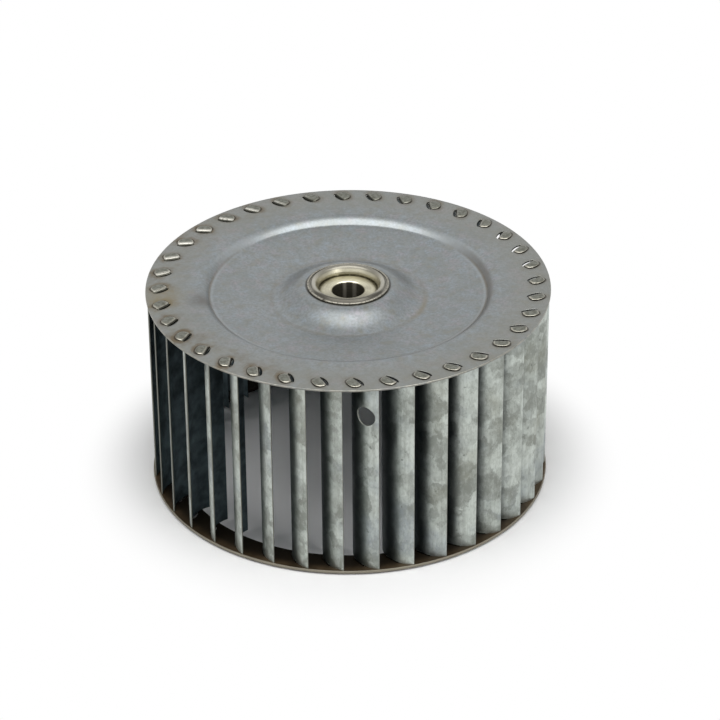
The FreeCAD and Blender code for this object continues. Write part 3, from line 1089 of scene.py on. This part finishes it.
def floor_finish(colours):
    """A pale floor that keeps the wheel's shadow close to it and is plain white further off,
    for the rays that see it directly or in a metal surface."""
    material, f, place = finish_of("studio_floor")
    x, y, _ = f.split(place)
    lit = f.node("ShaderNodeBsdfDiffuse", inputs={"Color": (*colours.floor, 1)})
    white = f.node("ShaderNodeEmission", inputs={"Color": (1, 1, 1, 1), "Strength": 1})
    far = f.ramp(f.radius(x, y), 76, 112) * f.seen()
    both = f.node("ShaderNodeMixShader", inputs={0: far, 1: lit, 2: white})
    f.node("ShaderNodeOutputMaterial", inputs={"Surface": both})
    return material


# Operators


class PieceOperator(bpy.types.Operator):
    """What the wheel's operators share."""

    bl_options = {"REGISTER", "UNDO"}


class WHEEL_OT_back_disc(PieceOperator):
    """Makes the pressed back disc with its dome, step and slots"""

    bl_idname = "wheel.back_disc"
    bl_label = "Back disc"

    def execute(self, context):
        sizes, colours = context.scene.wheel_sizes, context.scene.wheel_colours
        piece("back_disc", disc_patches(sizes), disc_finish(sizes, colours))
        return {"FINISHED"}


class WHEEL_OT_inlet_ring(PieceOperator):
    """Makes the flat inlet ring with its slots"""

    bl_idname = "wheel.inlet_ring"
    bl_label = "Inlet ring"

    def execute(self, context):
        sizes, colours = context.scene.wheel_sizes, context.scene.wheel_colours
        piece("inlet_ring", ring_patches(sizes), ring_finish(colours))
        return {"FINISHED"}


class WHEEL_OT_blades(PieceOperator):
    """Makes the row of curved blades, whose tongues are folded over both plates"""

    bl_idname = "wheel.blades"
    bl_label = "Blades"

    def execute(self, context):
        scene = context.scene
        draws = np.random.default_rng(scene.wheel_studio.seed)
        material = zinc_finish(scene.wheel_colours)
        for number in range(1, BLADE_COUNT + 1):
            extra_reach = draws.uniform(-0.25, 0.1) * MM
            patches = blade_patches(scene.wheel_sizes, number, extra_reach)
            piece("blade_%02d" % number, patches, material)
        return {"FINISHED"}


class WHEEL_OT_hub(PieceOperator):
    """Makes the turned hub with its rolled lip, bore and tapped hole"""

    bl_idname = "wheel.hub"
    bl_label = "Hub"

    def execute(self, context):
        sizes, colours = context.scene.wheel_sizes, context.scene.wheel_colours
        piece("hub", hub_patches(sizes), hub_finish(colours))
        return {"FINISHED"}


class WHEEL_OT_set_screw(PieceOperator):
    """Makes the threaded set screw with its hexagon socket"""

    bl_idname = "wheel.set_screw"
    bl_label = "Set screw"

    def execute(self, context):
        sizes, colours = context.scene.wheel_sizes, context.scene.wheel_colours
        piece("set_screw", screw_patches(sizes), screw_finish(colours))
        return {"FINISHED"}


# Each lamp's place in metres, its two sides in metres and its power in watts
LAMPS = {
    "Overhead": ((0.0, -0.52, 1.08), (2.5, 1.05), 21.0),
    "Back": ((0.0, 1.05, 1.05), (1.6, 0.7), 1.0),
    "Front right": ((0.9, -1.1, 0.7), (0.6, 0.9), 3.0),
}
LAMP_AIM = (0, 0, 0.05)
FLOOR_REACH = 4.0
FLOOR_DROP = 0.1 * MM


class WHEEL_OT_studio(PieceOperator):
    """Makes the floor, the soft light and the camera at the photograph's angle"""

    bl_idname = "wheel.studio"
    bl_label = "Studio"

    def execute(self, context):
        scene = context.scene
        self.make_floor(scene)
        self.make_world(scene)
        for name, values in LAMPS.items():
            self.make_lamp(scene, name, *values)
        self.make_camera(scene)
        scene.view_settings.view_transform = "Standard"
        return {"FINISHED"}

    def make_floor(self, scene):
        flat = np.linspace(-FLOOR_REACH, FLOOR_REACH, 9)
        x, y = np.meshgrid(flat, flat)
        points, faces = patch(np.stack([x, y, np.full(x.shape, -FLOOR_DROP)], axis=-1))
        mesh = bpy.data.meshes.new("floor")
        mesh.from_pydata(points.tolist(), [], faces.tolist())
        mesh.materials.append(floor_finish(scene.wheel_colours))
        floor = bpy.data.objects.new("floor", mesh)
        scene.collection.objects.link(floor)

    def make_world(self, scene):
        """White for the rays that see it directly or in metal or glass, a studio level for
        the light on dull surfaces."""
        world = bpy.data.worlds.new("Studio")
        world.use_nodes = True
        scene.world = world
        f = Finish(world.node_tree)
        level = scene.wheel_studio.studio_level
        dull = f.node("ShaderNodeBackground", inputs={0: (level, level, level, 1), 1: 1})
        white = f.node("ShaderNodeBackground", inputs={0: (1, 1, 1, 1), 1: 1})
        both = f.node("ShaderNodeMixShader", inputs={0: f.seen(), 1: dull, 2: white})
        f.node("ShaderNodeOutputWorld", inputs={"Surface": both})

    def make_lamp(self, scene, name, place, sides, power):
        """A soft box at a place, turned to what it lights."""
        data = bpy.data.lights.new(name, "AREA")
        data.shape = "RECTANGLE"
        data.size, data.size_y = sides
        data.energy = power
        lamp = bpy.data.objects.new(name, data)
        lamp.location = place
        away = Vector(LAMP_AIM) - Vector(place)
        lamp.rotation_euler = away.to_track_quat("-Z", "Y").to_euler()
        scene.collection.objects.link(lamp)

    def make_camera(self, scene):
        studio = scene.wheel_studio
        elevation, roll = studio.elevation, studio.roll
        back = Vector((0, -math.cos(elevation), math.sin(elevation)))
        up = Vector((0, math.sin(elevation), math.cos(elevation)))
        right = Vector((1, 0, 0))
        c, s = math.cos(roll), math.sin(roll)
        axes = Matrix((c * right + s * up, c * up - s * right, back)).transposed()
        data = bpy.data.cameras.new("Camera")
        data.lens = studio.focal_length
        data.shift_x, data.shift_y = studio.shift_x, studio.shift_y
        camera = bpy.data.objects.new("Camera", data)
        place = Vector((0, 0, studio.aim_height)) + back * studio.distance
        camera.matrix_world = Matrix.Translation(place) @ axes.to_4x4()
        scene.collection.objects.link(camera)
        scene.camera = camera


class WHEEL_PT_panel(bpy.types.Panel):
    """The wheel's pieces and the studio, in the 3D view's sidebar"""

    bl_label = "Fan impeller"
    bl_idname = "WHEEL_PT_panel"
    bl_space_type = "VIEW_3D"
    bl_region_type = "UI"
    bl_category = "Fan impeller"

    def draw(self, context):
        for made in MAKERS:
            self.layout.operator(made.bl_idname)


MAKERS = (
    WHEEL_OT_back_disc,
    WHEEL_OT_inlet_ring,
    WHEEL_OT_blades,
    WHEEL_OT_hub,
    WHEEL_OT_set_screw,
    WHEEL_OT_studio,
)
GROUPS = {"wheel_sizes": WheelSizes, "wheel_colours": WheelColours, "wheel_studio": WheelStudio}


def register():
    for group in GROUPS.values():
        bpy.utils.register_class(group)
    for made in (*MAKERS, WHEEL_PT_panel):
        bpy.utils.register_class(made)
    for name, group in GROUPS.items():
        setattr(bpy.types.Scene, name, PointerProperty(type=group))


def unregister():
    for name in GROUPS:
        delattr(bpy.types.Scene, name)
    for made in (*MAKERS, WHEEL_PT_panel, *GROUPS.values()):
        bpy.utils.unregister_class(made)


def main():
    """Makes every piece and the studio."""
    register()
    bpy.ops.wheel.back_disc()
    bpy.ops.wheel.inlet_ring()
    bpy.ops.wheel.blades()
    bpy.ops.wheel.hub()
    bpy.ops.wheel.set_screw()
    bpy.ops.wheel.studio()


if __name__ == "__main__":
    main()
